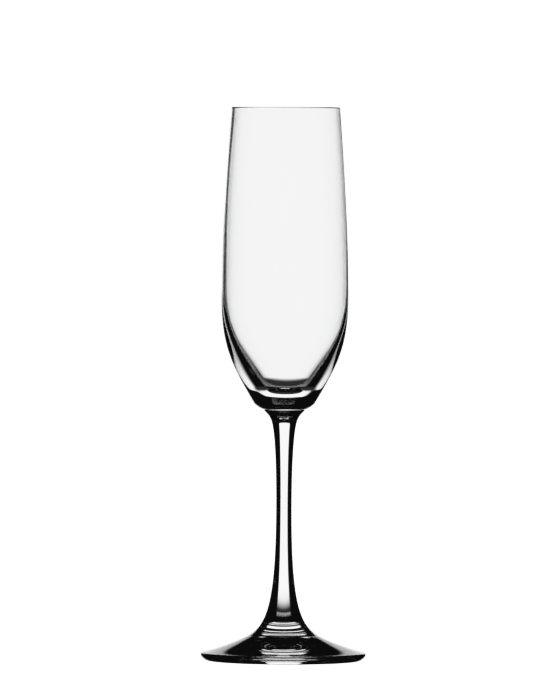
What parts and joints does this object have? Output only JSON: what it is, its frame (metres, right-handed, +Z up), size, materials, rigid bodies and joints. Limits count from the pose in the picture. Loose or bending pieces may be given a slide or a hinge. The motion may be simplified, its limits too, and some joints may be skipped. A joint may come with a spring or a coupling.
{
  "type": "champagne flute",
  "caption": "Tall clear crystal flute: a slim tulip bowl with a thick base, on a solid waisted stem and a round foot.",
  "frame": {"origin": "centre of the flat ring that the foot rests on, on the glass's axis", "axes": "+Z up along the stem, from the foot to the lip; outside, the glass is the same all round, and +X points to the side where the bowl's wall is a little thinner"},
  "size_m": [0.0666, 0.0666, 0.222],
  "materials": {
    "crystal_bowl": "fire-polished clear crystal",
    "crystal_stem": "fire-polished clear crystal",
    "crystal_foot": "fire-polished clear crystal"
  },
  "bodies": {
    "root": {"bowl": "crystal_bowl", "stem": "crystal_stem", "foot": "crystal_foot"}
  },
  "joints": []
}
